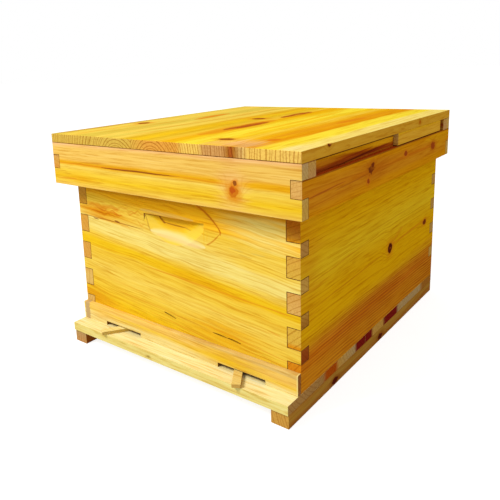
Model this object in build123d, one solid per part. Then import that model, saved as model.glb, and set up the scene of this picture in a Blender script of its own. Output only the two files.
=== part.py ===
from build123d import *
import math
import os

# Single-storey box beehive of waxed fir, in millimetres, standing on its runners, entrance towards -Y.
# Each piece is modelled with X = 0 in the middle of the box, Y = 0 at the front board's outer face and
# Z = 0 on the ground. At the end all pieces move together, so that the origin is on the ground in the
# middle of the whole hive's outline.

# Hanging frames, which the box is made around
frame_count = 10
frame_pitch = 37.0
frame_length = 448.0
frame_height = 232.0
frame_width = 25.0
lug_reach = 18.0
lug_height = 10.0
top_bar_height = 20.0
fork_depth = 5.0
end_bar = 10.0
bottom_bar_width = 15.0
bottom_bar_height = 10.0
foundation_groove_width = 3.0
foundation_groove_depth = 4.0

# Box, with the spaces left for bees beside, behind and under the frames
side_space = 5.0
end_space = 11.0
under_space = 28.0
board = 20.0
finger_count = 5
front_finger = 19.0
first_finger = 41.0
rebate_depth = 10.0
rebate_height = 18.0

# Scooped handhold in the front and back boards
hold_width = 116.0
hold_height = 41.0
hold_depth = 11.0
hold_radius = 225.0
hold_drop = 63.0
cut_margin = 2.0

# Floor with landing board, and runners
floor_thickness = 14.0
floor_strips = 7
landing_reach = 33.0
runner_width = 27.0
runner_height = 20.0
runner_setback = 2.0

# Entrance strip, slots and turning tongues, left one first
strip_thickness = 8.0
strip_height = 29.5
strip_chamfer = 1.0
slot_width = 79.0
slot_middles = (-114.0, 120.5)
tongue_pivots = (-114.0, 114.0)
tongue_turns = (-35.0, 30.5)
tongue_reach = 38.0
tongue_tail = 30.0
tongue_width = 12.5
tongue_thickness = 5.6
tongue_clearance = 0.8
nail_radius = 1.4
nail_grip = 12.0
nail_point = 4.0
nail_head_radius = 3.2
nail_head = 1.2
nail_running_clearance = 0.05

# Cover: panel, rails, battens. It fits over the box with play, and is pushed to the left and the front
cover_play_x = 6.0
cover_play_y = 4.5
cover_gap = 0.5
cover_rim = 68.0
cover_finger = 22.0
cover_strips = 5
panel_thickness = 14.0
rail = 15.0
batten_width = 18.5

# Vents between the side rails and the panel
vent_height = 20.0
vent_strip_length = 202.5
vent_strip_thickness = 8.0
vent_strip_gap = 1.2
vent_rear_gap = 19.0
slider_thickness = 4.0
slider_lap = 8.0
slider_clearance = 0.3
slider_top_clearance = 1.0
groove_depth = 3.0

# Inner cover
inner_cover_thickness = 18.0
inner_rail_width = 32.0
mesh_thickness = 1.0
mesh_lap = 10.0
mesh_wire = 2.4
mesh_columns = 12
mesh_rows = 15

# Sizes, levels and places that follow from the sizes above
top_bar_length = frame_length + 2 * lug_reach
inner_width = frame_count * frame_pitch + 2 * side_space
box_width = inner_width + 2 * board
box_depth = frame_length + 2 * (end_space + board)
box_height = under_space + frame_height - lug_height + rebate_height
finger_pitch = (box_height - rebate_height - first_finger - front_finger) / (finger_count - 1)
slot_height = tongue_thickness + tongue_clearance
cover_width = box_width + 2 * (cover_play_x + rail)
cover_depth = box_depth + 2 * (cover_play_y + rail)
cover_shift_x = cover_gap - cover_play_x
cover_shift_y = cover_gap - cover_play_y
floor_bottom = runner_height
box_bottom = floor_bottom + floor_thickness
box_top = box_bottom + box_height
cover_seat = box_top + inner_cover_thickness
panel_bottom = cover_seat + vent_height
rim_bottom = panel_bottom - cover_rim
rebate_floor = box_top - rebate_height
cover_left = cover_shift_x - cover_width / 2
cover_right = cover_shift_x + cover_width / 2
cover_front = (box_depth - cover_depth) / 2 + cover_shift_y
cover_back = cover_front + cover_depth
vent_front = cover_front + rail + batten_width
vent_back = cover_back - rail - batten_width
pivot_y = -strip_thickness / 2

pieces = {}


# A block from its low corner to its high corner
def block(low, high):
    size = [b - a for a, b in zip(low, high)]
    middle = [(a + b) / 2 for a, b in zip(low, high)]
    return Pos(*middle) * Box(*size)


# Heights of the middles of the end boards' comb fingers, the top one level with the rebate's floor
def finger_middles():
    lowest = box_bottom + first_finger + front_finger / 2
    return [lowest + finger_pitch * step for step in range(finger_count)]


# The scoop: a wide drum, leaning outwards, takes wood away under a straight top edge and runs out below
def handhold():
    top = box_top - hold_drop
    lean = math.atan2(hold_depth, hold_height)
    axis_reach = hold_radius / math.cos(lean)
    drum = Rot(-math.degrees(lean), 0, 0) * Cylinder(hold_radius, 4 * hold_height)
    low = (-hold_width / 2, -cut_margin, top - hold_height - cut_margin)
    high = (hold_width / 2, hold_depth + cut_margin, top)
    return Pos(0, hold_depth - axis_reach, top) * drum & block(low, high)


# The two entrance slots as one cut, from one depth to another
def entrance_slots(front, back):
    slots = Part()
    for middle in slot_middles:
        low = (middle - slot_width / 2, front, box_bottom)
        high = (middle + slot_width / 2, back, box_bottom + slot_height)
        slots += block(low, high)
    return slots


# Front board, or the back board before it is turned round
def end_board():
    middle = (box_bottom + box_top) / 2
    outline = Pos(0, middle) * Rectangle(inner_width, box_height)
    for height in finger_middles():
        outline += Pos(0, height) * Rectangle(box_width, front_finger)
    solid = extrude(Plane.XZ * outline, -board)
    rebate_low = (-inner_width / 2, board - rebate_depth, rebate_floor)
    rebate_high = (inner_width / 2, board, box_top)
    return solid - block(rebate_low, rebate_high) - handhold()


# Side board whose outer face is at the given X, its thickness going inwards
def side_board(outer_x):
    outline = Pos(box_depth / 2, (box_bottom + box_top) / 2) * Rectangle(box_depth, box_height)
    for height in finger_middles():
        for end in (board / 2, box_depth - board / 2):
            outline -= Pos(end, height) * Rectangle(board, front_finger)
    inwards = -math.copysign(board, outer_x)
    return extrude(Plane.YZ.offset(outer_x) * outline, inwards)


def box_boards():
    pieces["front_board"] = end_board() - entrance_slots(0, board)
    pieces["back_board"] = Pos(0, box_depth, 0) * Rot(0, 0, 180) * end_board()
    pieces["left_board"] = side_board(-box_width / 2)
    pieces["right_board"] = side_board(box_width / 2)


# Upright nail that a tongue turns on: head under the floor, point in the entrance strip
def tongue_nail(pivot_x):
    tip = box_bottom + slot_height + nail_grip
    profile = Polyline(
        (0, floor_bottom - nail_head),
        (nail_head_radius, floor_bottom - nail_head),
        (nail_head_radius, floor_bottom),
        (nail_radius, floor_bottom),
        (nail_radius, tip - nail_point),
        (0, tip),
        close=True,
    )
    return Pos(pivot_x, pivot_y, 0) * revolve(Plane.XZ * make_face(profile), Axis.Z)


# Entrance tongue: square tip outside, round tail inside, bored for its nail
def tongue(pivot_x, turn):
    half = tongue_width / 2
    straight = tongue_reach + tongue_tail - half
    outline = Pos(0, -tongue_reach + straight / 2) * Rectangle(tongue_width, straight)
    outline += Pos(0, tongue_tail - half) * Circle(half)
    outline -= Circle(nail_radius + nail_running_clearance)
    flat = extrude(outline, tongue_thickness)
    return Pos(pivot_x, pivot_y, box_bottom) * Rot(0, 0, turn) * flat


def floor_and_entrance():
    nails = [tongue_nail(pivot_x) for pivot_x in tongue_pivots]
    pieces["tongue_nails"] = Compound(nails)
    strip_depth = (landing_reach + box_depth) / floor_strips
    strips = []
    for step in range(floor_strips):
        front = -landing_reach + step * strip_depth
        strip = block(
            (-box_width / 2, front, floor_bottom),
            (box_width / 2, front + strip_depth, box_bottom),
        )
        strips.append(strip - nails[0] - nails[1])
    pieces["floor_boards"] = Compound(strips)

    for name, outer in (("left_runner", -box_width / 2), ("right_runner", box_width / 2)):
        inner = outer - math.copysign(runner_width, outer)
        low = (min(outer, inner), runner_setback - landing_reach, 0)
        high = (max(outer, inner), box_depth, runner_height)
        pieces[name] = block(low, high)

    strip_top = box_bottom + strip_height
    strip = block((-box_width / 2, -strip_thickness, box_bottom), (box_width / 2, 0, strip_top))
    top_edge = strip.edges().filter_by(Axis.X).group_by(Axis.Z)[-1].sort_by(Axis.Y)[0]
    strip = chamfer(top_edge, strip_chamfer)
    strip -= entrance_slots(-strip_thickness, 0)
    pieces["entrance_strip"] = strip - nails[0] - nails[1]

    for name, pivot_x, turn in zip(("left_tongue", "right_tongue"), tongue_pivots, tongue_turns):
        pieces[name] = tongue(pivot_x, turn)


# Inner and outer X of a vent slider's groove, on the left or the right of the cover
def groove_sides(side):
    outer = cover_width / 2 - vent_strip_thickness
    inner = outer - slider_thickness - 2 * slider_clearance
    ends = (cover_shift_x + side * inner, cover_shift_x + side * outer)
    return min(ends), max(ends)


# The slider grooves in the side rails' tops and the panel's underside, as one cut
def slider_grooves():
    grooves = Part()
    for side in (-1, 1):
        low_x, high_x = groove_sides(side)
        grooves += block(
            (low_x, vent_front, cover_seat - groove_depth),
            (high_x, vent_back, panel_bottom + groove_depth),
        )
    return grooves


# Front or back rail of the cover, with a socket at each end for the side rail's finger
def cover_end_rail(front):
    back = front + rail
    solid = block((cover_left, front, rim_bottom), (cover_right, back, panel_bottom))
    for low_x in (cover_left, cover_right - rail):
        low = (low_x, front, cover_seat - cover_finger)
        solid -= block(low, (low_x + rail, back, cover_seat))
    return solid


# Side rail of the cover: one comb finger at each end, along its top
def cover_side_rail(low_x):
    high_x = low_x + rail
    body = block((low_x, cover_front + rail, rim_bottom), (high_x, cover_back - rail, cover_seat))
    finger_low = (low_x, cover_front, cover_seat - cover_finger)
    return body + block(finger_low, (high_x, cover_back, cover_seat))


def cover():
    grooves = slider_grooves()
    pieces["cover_front_rail"] = cover_end_rail(cover_front)
    pieces["cover_back_rail"] = cover_end_rail(cover_back - rail)
    pieces["cover_left_rail"] = cover_side_rail(cover_left) - grooves
    pieces["cover_right_rail"] = cover_side_rail(cover_right - rail) - grooves

    strip_width = cover_width / cover_strips
    strips = []
    for step in range(cover_strips):
        left = cover_left + step * strip_width
        strip = block(
            (left, cover_front, panel_bottom),
            (left + strip_width, cover_back, panel_bottom + panel_thickness),
        )
        strips.append(strip - grooves)
    pieces["cover_top"] = Compound(strips)

    battens = []
    for front in (cover_front + rail, vent_back):
        low = (cover_left, front, cover_seat)
        battens.append(block(low, (cover_right, front + batten_width, panel_bottom)))
    pieces["cover_battens"] = Compound(battens)


def vents():
    strip_back = vent_back - vent_rear_gap
    strip_front = strip_back - vent_strip_length
    for side, name in ((-1, "left"), (1, "right")):
        edge = cover_shift_x + side * cover_width / 2
        inner = edge - side * vent_strip_thickness
        pieces[f"{name}_vent_strip"] = block(
            (min(edge, inner), strip_front, cover_seat + vent_strip_gap),
            (max(edge, inner), strip_back, panel_bottom),
        )
        low_x, high_x = groove_sides(side)
        pieces[f"{name}_vent_slider"] = block(
            (low_x + slider_clearance, vent_front + slider_clearance, cover_seat - groove_depth),
            (
                high_x - slider_clearance,
                strip_front + slider_lap,
                panel_bottom + groove_depth - slider_top_clearance,
            ),
        )


# Inner cover: four rails, half-lapped at the corners, with a wire mesh let into their top
def inner_cover():
    half_width = box_width / 2
    lap = box_top + inner_cover_thickness / 2
    mesh_bottom = cover_seat - mesh_thickness
    mesh_x = half_width - inner_rail_width + mesh_lap
    mesh_front = inner_rail_width - mesh_lap
    mesh_back = box_depth - mesh_front
    recess = block((-mesh_x, mesh_front, mesh_bottom), (mesh_x, mesh_back, cover_seat))

    rails = []
    for front in (0, box_depth - inner_rail_width):
        back = front + inner_rail_width
        cross = block((-half_width, front, box_top), (half_width, back, cover_seat))
        for low_x in (-half_width, half_width - inner_rail_width):
            cross -= block((low_x, front, lap), (low_x + inner_rail_width, back, cover_seat))
        rails.append(cross - recess)
    for low_x in (-half_width, half_width - inner_rail_width):
        high_x = low_x + inner_rail_width
        side = block((low_x, 0, box_top), (high_x, box_depth, cover_seat))
        for front in (0, box_depth - inner_rail_width):
            side -= block((low_x, front, box_top), (high_x, front + inner_rail_width, lap))
        rails.append(side - recess)
    pieces["inner_cover_rails"] = Compound(rails)

    opening_width = box_width - 2 * inner_rail_width
    opening_depth = box_depth - 2 * inner_rail_width
    pitch_x = (opening_width + mesh_wire) / mesh_columns
    pitch_y = (opening_depth + mesh_wire) / mesh_rows
    sheet = Rectangle(2 * mesh_x, mesh_back - mesh_front)
    gaps = GridLocations(pitch_x, pitch_y, mesh_columns, mesh_rows)
    sheet -= gaps * Rectangle(pitch_x - mesh_wire, pitch_y - mesh_wire)
    pieces["inner_cover_mesh"] = Pos(0, box_depth / 2, mesh_bottom) * extrude(sheet, mesh_thickness)


# The three bars of a hanging frame in the middle of the box, before it is moved to its place
def frame_bars():
    middle = box_depth / 2
    top = rebate_floor + lug_height
    bottom = top - frame_height
    half_length = frame_length / 2
    half_width = frame_width / 2

    side_view = Pos(middle, top - lug_height / 2) * Rectangle(top_bar_length, lug_height)
    side_view += Pos(middle, top - top_bar_height / 2) * Rectangle(frame_length, top_bar_height)
    top_bar = extrude(Plane.YZ * side_view, half_width, both=True)
    forks = Part()
    end_bars = []
    for outer, inner in ((middle - half_length, end_bar), (middle + half_length, -end_bar)):
        front = min(outer, outer + inner)
        back = max(outer, outer + inner)
        for side in (-1, 1):
            inside = side * (half_width - fork_depth)
            outside = side * half_width
            low = (min(inside, outside), front, top - top_bar_height)
            forks += block(low, (max(inside, outside), back, top))
        upright = block((-half_width, front, bottom), (half_width, back, top))
        neck = half_width - fork_depth
        upright -= block((-neck, front, top - top_bar_height), (neck, back, top))
        seat = bottom_bar_width / 2
        upright -= block((-seat, front, bottom), (seat, back, bottom + bottom_bar_height))
        end_bars.append(upright)
    groove_x = foundation_groove_width / 2
    groove_low = (-groove_x, middle - half_length + end_bar, top - top_bar_height)
    groove_top = top - top_bar_height + foundation_groove_depth
    groove = block(groove_low, (groove_x, middle + half_length - end_bar, groove_top))
    bottom_bar = block(
        (-bottom_bar_width / 2, middle - half_length, bottom),
        (bottom_bar_width / 2, middle + half_length, bottom + bottom_bar_height),
    )
    return top_bar - forks - groove, end_bars, bottom_bar


def frames():
    top_bar, end_bars, bottom_bar = frame_bars()
    for number in range(frame_count):
        place = Pos((number - (frame_count - 1) / 2) * frame_pitch, 0, 0)
        name = f"frame_{number + 1:02d}"
        pieces[f"{name}_top_bar"] = place * top_bar
        pieces[f"{name}_end_bars"] = Compound([place * bar for bar in end_bars])
        pieces[f"{name}_bottom_bar"] = place * bottom_bar


box_boards()
floor_and_entrance()
cover()
vents()
inner_cover()
frames()

# Bring the middle of the hive's outline to the origin
boxes = [piece.bounding_box() for piece in pieces.values()]
middle_x = (min(b.min.X for b in boxes) + max(b.max.X for b in boxes)) / 2
middle_y = (min(b.min.Y for b in boxes) + max(b.max.Y for b in boxes)) / 2
print(f"origin at X {middle_x:.3f}, Y {middle_y:.3f} from the box's front middle")

os.makedirs("parts", exist_ok=True)
for name, piece in pieces.items():
    export_step(Pos(-middle_x, -middle_y, 0) * piece, f"parts/{name}.step")
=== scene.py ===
import math

import bmesh
import bpy
from mathutils import Matrix, Vector


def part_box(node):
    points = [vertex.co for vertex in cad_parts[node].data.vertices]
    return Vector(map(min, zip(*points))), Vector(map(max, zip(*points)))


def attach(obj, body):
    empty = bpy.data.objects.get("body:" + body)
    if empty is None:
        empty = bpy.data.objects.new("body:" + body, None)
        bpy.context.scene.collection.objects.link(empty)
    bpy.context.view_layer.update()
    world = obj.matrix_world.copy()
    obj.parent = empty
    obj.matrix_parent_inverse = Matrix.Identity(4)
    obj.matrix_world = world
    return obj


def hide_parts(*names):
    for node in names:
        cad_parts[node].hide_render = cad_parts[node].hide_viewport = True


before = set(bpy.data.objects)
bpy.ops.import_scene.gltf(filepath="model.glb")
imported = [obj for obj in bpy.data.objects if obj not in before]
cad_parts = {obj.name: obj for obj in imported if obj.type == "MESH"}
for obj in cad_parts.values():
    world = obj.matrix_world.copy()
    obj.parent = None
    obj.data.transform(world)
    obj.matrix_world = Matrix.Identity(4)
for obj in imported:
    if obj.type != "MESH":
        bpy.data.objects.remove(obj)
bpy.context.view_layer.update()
print("frame loaded,", len(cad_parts), "nodes")

# Box beehive of waxed fir. Sizes below are millimetres from the middle of the box front, on the ground.
mm = 0.001
over = 2 * mm  # how far a cutter runs past the wood
squarely = 0.9  # a face that looks this much along an axis is an end face
boardLow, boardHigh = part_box("front_board")
boxMiddle = (boardLow.x + boardHigh.x) / 2
boxFront = boardLow.y


def hivePoint(x, y, z):
    return Vector((boxMiddle + x * mm, boxFront + y * mm, z * mm))


# Wood tones, from sapwood to resin, and a few that are painted shade or painted light
tones = {
    "cream": (0.76, 0.64, 0.26),
    "paleSap": (0.77, 0.63, 0.17),
    "straw": (0.76, 0.55, 0.085),
    "honey": (0.75, 0.51, 0.045),
    "gold": (0.74, 0.475, 0.012),
    "oliveGold": (0.72, 0.385, 0.003),
    "peach": (0.74, 0.48, 0.10),
    "amber": (0.71, 0.37, 0.006),
    "orange": (0.62, 0.24, 0.009),
    "russet": (0.60, 0.18, 0.007),
    "heart": (0.49, 0.14, 0.005),
    "redHeart": (0.34, 0.06, 0.008),
    "wine": (0.25, 0.026, 0.006),
    "pitch": (0.10, 0.012, 0.004),
    "resin": (0.26, 0.07, 0.008),
    "knot": (0.19, 0.035, 0.006),
    "endTan": (0.56, 0.31, 0.06),
    "endPink": (0.54, 0.28, 0.09),
    "endGrey": (0.46, 0.31, 0.13),
    "endBrown": (0.38, 0.15, 0.02),
    "shade": (0.42, 0.22, 0.03),
    "moss": (0.50, 0.40, 0.10),
    "blush": (0.74, 0.42, 0.17),
    "paleLitEdge": (0.98, 0.95, 0.37),
    "copper": (0.66, 0.27, 0.004),
    "sunny": (0.79, 0.63, 0.04),
    "dullGold": (0.64, 0.42, 0.02),
    "coverShadowBrown": (0.63, 0.30, 0.01),
    "panelEdge": (0.88, 0.49, 0.03),
    "stripTan": (0.62, 0.43, 0.13),
    "ventOlive": (0.72, 0.385, 0.03),
    "ledgeShadeRed": (0.46, 0.064, 0.007),
    "sliderRed": (0.44, 0.09, 0.005),
    "endCopper": (0.56, 0.24, 0.045),
    "landing": (0.79, 0.69, 0.33),
    "ruby": (0.20, 0.012, 0.008),
    "endPale": (0.62, 0.40, 0.13),
    "endRose": (0.66, 0.31, 0.05),
    "endOlive": (0.59, 0.39, 0.065),
    "endEarth": (0.40, 0.21, 0.06),
    "endUmber": (0.46, 0.23, 0.055),
    "sage": (0.63, 0.49, 0.07),
    "knotRed": (0.44, 0.08, 0.004),
    "litGold": (0.90, 0.48, 0.012),
    "tongueTan": (0.67, 0.51, 0.16),
}


def tone(name):
    return (*tones[name], 1.0)


# How a board lies: its grain, its thickness and its width, as axes of the hive
lays = {
    "front": ((1, 0, 0), (0, 1, 0), (0, 0, 1)),
    "side": ((0, 1, 0), (-1, 0, 0), (0, 0, 1)),
    "top": ((0, 1, 0), (0, 0, 1), (1, 0, 0)),
    "floor": ((1, 0, 0), (0, 0, -1), (0, 1, 0)),
    "post": ((0, 0, 1), (1, 0, 0), (0, 1, 0)),
}

firDefaults = {
    "lay": "front",
    "slope": 0.0,  # grain rises or falls along the board
    "waver": 5.0,  # mm that the grain wanders
    "bands": {0: "gold", 300: "honey"},  # tones up the board
    "stir": 9.0,  # mm of streaks between the bands
    "pith": (150.0, 190.0),  # heart of the log, across the board and behind its face
    "taper": 0.03,
    "ringGap": 6.5,
    "ringDepth": 0.5,
    "lateStart": 0.6,  # share of a year before its late wood
    "lateTone": (0.80, 0.60, 0.30),
    "ends": {0: "endTan", 300: "endTan"},
    "endShare": 0.75,
    "endRings": 0.45,
    "knots": [],
    "streaks": [],
    "patches": [],
    "strips": None,
    "fineRings": None,
    "scoop": None,
    "edgeTone": None,
    "shadeBands": [],
    "rough": 0.52,
    "gloss": 0.03,
    "seed": 0.0,
}
streakDefaults = {"share": 0.85, "sway": 0.5, "bow": 0.0, "fray": 0.8, "core": 0.1}
knotDefaults = {"level": None, "stretch": 1.0, "tone": "knot", "halo": 0.75, "haloTone": "orange",
                "core": None, "ragged": 1.5}

# Noises in the wood: mm along, through and across the grain, then detail and shift
noises = {
    "wander": ((170, 60, 55), 2.0, 0.0),
    "ripple": ((45, 30, 16), 3.0, 40.0),
    "patchy": ((120, 40, 30), 2.0, 70.0),
    "streaky": ((260, 14, 7), 3.0, 11.0),
    "curl": ((34, 20, 3.6), 2.0, 0.0),
    "fibre": ((38, 1.4, 0.9), 2.0, 5.0),
    "strand": ((75, 5, 2.6), 3.0, 61.0),
    "dash": ((42, 5, 2.0), 2.0, 37.0),
    "blotch": ((150, 70, 70), 3.0, 90.0),
    "frayed": ((60, 6, 3), 2.0, 17.0),
    "chewed": ((7, 7, 5), 3.0, 23.0),
    "pore": ((5, 2.4, 2.4), 3.0, 55.0),
}

# Tints that the finer noises lay on: where each starts, where it is full, its share and its colour
tints = [
    ("fibre", 0.35, 0.75, 0.28, (0.82, 0.68, 0.42)),
    ("strand", 0.5, 0.68, 0.5, (0.80, 0.64, 0.36)),
    ("strand", 0.48, 0.32, 0.5, (1.04, 1.12, 1.5)),
    ("dash", 0.53, 0.7, 0.65, (0.80, 0.64, 0.36)),
    ("dash", 0.45, 0.3, 0.4, (1.04, 1.10, 1.3)),
    ("blotch", 0.35, 0.72, 0.25, (0.88, 0.80, 0.62)),
]

# Growth rings, in shares of a year and of the gap between rings
rings = {
    "lateFull": 0.88, "lateFall": (0.9, 0.98),
    "fineLate": (0.25, 0.8), "fineFall": (0.85, 1.0), "fineUneven": 0.3,
    "unevenGap": 3.2, "unevenShift": 3.0, "uneven": 1.5,
    "strongGap": 2.1, "strongShift": 31.0, "strong": (0.3, 0.7, 0.2, 1.0),
    "patchy": (0.3, 0.7, 0.35, 1.0),
    "knotSwell": 1.6, "knotReach": -0.16, "knotSway": 0.35,
    "endTint": (0.62, 0.45, 0.28),
}

# Spans that the edges of a mark fade over
fades = {
    "patch": (1.1, 0.0),
    "curl": (0.46, 0.62),
    "facing": (0.6, 0.9),
    "sunk": (0.05, 0.5),
    "knotHalo": (2.3, 0.8),
    "knot": (1.05, 0.75),
    "knotCore": (0.3, 0.0, 0.0, 0.7),
    "pore": (0.4, 0.7, 0.0, 0.5),
}
streakEdge = 0.9
streakTip = 0.05  # share of its width that a streak keeps at its ends
patchStir = 1.6
scoopStir = 2.0
sameStrip = 0.1  # play in matching a strip to its number
poreTint = (0.66, 0.56, 0.42)
seam = {"near": 0.6, "full": 0.1, "share": 0.55, "tint": (0.55, 0.40, 0.20)}
relief = {"rings": 0.5, "fibre": 0.6, "strength": 0.22, "distance": 0.0004, "roughness": 0.2}


# Marks on a board, by their place along it and across it
def streak(start, end, wide, shade, **more):
    return {**streakDefaults, "start": Vector(start), "end": Vector(end), "wide": wide, "tone": shade, **more}


def patch(at, size, shade, share, curly=None):
    return {"at": at, "size": size, "tone": shade, "share": share, "curly": curly}


def knot(at, size, **more):
    return {**knotDefaults, "at": at, "size": size, **more}


# A band of painted shade, faded in and out between two spans across the board
def rim(low, high, shade, share):
    return {"low": low, "high": high, "tone": shade, "share": share}


# Empties a tree of nodes and gives back a function that adds a node and fills or links its inputs
def nodeAdder(tree):
    tree.nodes.clear()

    def add(kind, inputs=None, **settings):
        node = tree.nodes.new(kind)
        for key, value in settings.items():
            setattr(node, key, value)
        for key, value in (inputs or {}).items():
            if isinstance(value, bpy.types.NodeSocket):
                tree.links.new(value, node.inputs[key])
            else:
                node.inputs[key].default_value = value
        return node

    return add


def newMaterial(name):
    material = bpy.data.materials.new(name)
    material.use_nodes = True
    return material, nodeAdder(material.node_tree)


# Waxed fir: bands of colour, growth rings about a heart, fibres, knots, resin streaks and end grain, with
# painted shade and painted highlights laid on as streaks, patches, bands and scoop tones
def firMaterial(name, look):
    look = {**firDefaults, **look}
    grainAxis, throughAxis, edgeAxis = lays[look["lay"]]
    material, add = newMaterial(name)

    def calc(operation, first, second=0.0, third=0.0):
        return add("ShaderNodeMath", {0: first, 1: second, 2: third}, operation=operation).outputs[0]

    def plus(first, second):
        return calc("ADD", first, second)

    def minus(first, second):
        return calc("SUBTRACT", first, second)

    def times(first, second):
        return calc("MULTIPLY", first, second)

    def timesPlus(first, second, third):
        return calc("MULTIPLY_ADD", first, second, third)

    def squares(first, second):
        return plus(times(first, first), times(second, second))

    def mixed(share, under, upper, mode="MIX"):
        node = add("ShaderNodeMix", {0: share, 6: under, 7: upper}, data_type="RGBA", blend_type=mode)
        return node.outputs[2]

    def tinted(share, under, shade):
        return mixed(share, under, (*shade, 1.0), "MULTIPLY")

    def faded(value, start, end, low=0.0, high=1.0):  # low before start, high past end
        inputs = {0: value, 1: start, 2: end, 3: low, 4: high}
        return add("ShaderNodeMapRange", inputs, interpolation_type="SMOOTHSTEP").outputs[0]

    def between(value, low, high):
        return times(faded(value, *low), faded(value, *high))

    def noise(kind, source=None, extraShift=0.0):
        size, detail, shift = noises[kind]
        inputs = {0: source or face, 1: (shift + extraShift + look["seed"],) * 3}
        moved = add("ShaderNodeVectorMath", inputs, operation="ADD").outputs[0]
        inputs = {0: moved, 1: [1 / length for length in size]}
        spot = add("ShaderNodeVectorMath", inputs, operation="MULTIPLY").outputs[0]
        return add("ShaderNodeTexNoise", {"Vector": spot, "Scale": 1.0, "Detail": detail}).outputs[0]

    def noiseAlong(value, length, shift):
        place = timesPlus(value, 1 / length, shift + look["seed"])
        inputs = {"W": place, "Scale": 1.0, "Detail": 1.0}
        return add("ShaderNodeTexNoise", inputs, noise_dimensions="1D").outputs[0]

    def ramp(value, stops):
        low, high = min(stops), max(stops)
        place = add("ShaderNodeMapRange", {0: value, 1: low, 2: high}).outputs[0]
        node = add("ShaderNodeValToRGB", {0: place})
        elements = node.color_ramp.elements
        while len(elements) < len(stops):
            elements.new(0.5)
        for element, (spot, shade) in zip(elements, stops.items()):
            element.position = (spot - low) / (high - low)
            element.color = tone(shade)
        return node.outputs[0]

    def facing(axis):  # 1 on faces that look along the axis
        inputs = {0: coordinates.outputs["Normal"], 1: axis}
        dot = add("ShaderNodeVectorMath", inputs, operation="DOT_PRODUCT").outputs["Value"]
        return faded(calc("ABSOLUTE", dot), *fades["facing"])

    # Board coordinates in millimetres: along the grain, through the board, across it
    axes = Matrix((grainAxis, throughAxis, edgeAxis)).transposed()
    coordinates = add("ShaderNodeTexCoord")
    face = add("ShaderNodeMapping", {
        "Vector": coordinates.outputs["Object"],
        "Location": hivePoint(0, 0, 0),
        "Rotation": axes.to_euler(),
        "Scale": (mm, mm, mm),
    }, vector_type="TEXTURE").outputs[0]
    along, through, width = add("ShaderNodeSeparateXYZ", {0: face}).outputs

    waver = look["waver"]
    ripple = timesPlus(noise("ripple"), waver / 2, -waver / 4)
    wander = plus(timesPlus(noise("wander"), 2 * waver, -waver), ripple)
    across = plus(timesPlus(along, look["slope"], width), wander)
    grain = add("ShaderNodeCombineXYZ", {0: along, 1: through, 2: across}).outputs[0]

    # Strips glued edge to edge each have a place of their own in the log
    heart = look["pith"][0]
    if look["strips"]:
        stripWidth = look["strips"]["width"]
        stripPlace = timesPlus(width, 1 / stripWidth, -look["strips"]["first"] / stripWidth)
        number = calc("FLOOR", stripPlace)
        heart = 0.0
        for count, place in enumerate(look["strips"]["hearts"]):
            heart = timesPlus(calc("COMPARE", number, count, sameStrip), place, heart)

    # Knots swell the growth rings round them
    swell = None
    knotMasks = []
    for mark in look["knots"]:
        reach = times(minus(along, mark["at"][0]), 1 / mark["stretch"])
        rise = plus(minus(width, mark["at"][1]), times(ripple, rings["knotSway"]))
        square = squares(reach, rise)
        if mark["level"] is not None:
            depth = minus(through, mark["level"])
            square = timesPlus(depth, depth, square)
        distance = calc("DIVIDE", calc("SQRT", square), mark["size"])
        bump = calc("EXPONENT", times(times(distance, distance), rings["knotReach"]))
        bump = times(bump, mark["size"] * rings["knotSwell"])
        swell = bump if swell is None else plus(swell, bump)
        knotMasks.append((distance, mark))

    # Growth rings, with late wood that darkens slowly and stops short
    gap = look["ringGap"]
    outward = minus(across, heart)
    behind = timesPlus(along, look["taper"], plus(through, look["pith"][1]))
    radius = calc("SQRT", squares(outward, behind))
    if swell is not None:
        radius = plus(radius, swell)
    uneven = times(noiseAlong(radius, rings["unevenGap"] * gap, rings["unevenShift"]), rings["uneven"] * gap)
    year = calc("FRACT", times(plus(radius, uneven), 1 / gap))
    late = minus(faded(year, look["lateStart"], rings["lateFull"]), faded(year, *rings["lateFall"]))
    strong = faded(noiseAlong(radius, rings["strongGap"] * gap, rings["strongShift"]), *rings["strong"])
    patchy = faded(noise("patchy"), *rings["patchy"])
    ringShare = times(times(late, strong), times(patchy, look["ringDepth"]))

    # Colour bands, stirred by long streaks
    streaky = noise("streaky", grain)
    stirred = timesPlus(streaky, 2 * look["stir"], minus(across, look["stir"]))
    colour = ramp(stirred, look["bands"])
    for mark in look["patches"]:
        reach = times(minus(along, mark["at"][0]), 1 / mark["size"][0])
        rise = times(minus(across, mark["at"][1]), 1 / mark["size"][1])
        distance = calc("SQRT", squares(reach, rise))
        stirredEdge = timesPlus(streaky, patchStir, minus(distance, patchStir / 2))
        share = times(faded(stirredEdge, *fades["patch"]), mark["share"])
        if mark["curly"]:
            height, length, shift = mark["curly"]
            wavy = timesPlus(noiseAlong(along, length / 2, shift), 4 * height, across)
            bent = add("ShaderNodeCombineXYZ", {0: along, 1: through, 2: wavy}).outputs[0]
            share = times(share, faded(noise("curl", bent, shift), *fades["curl"]))
        colour = mixed(share, colour, tone(mark["tone"]))
    if look["edgeTone"]:
        edgeName, edgeShare = look["edgeTone"]
        colour = mixed(times(facing(edgeAxis), edgeShare), colour, tone(edgeName))
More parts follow.
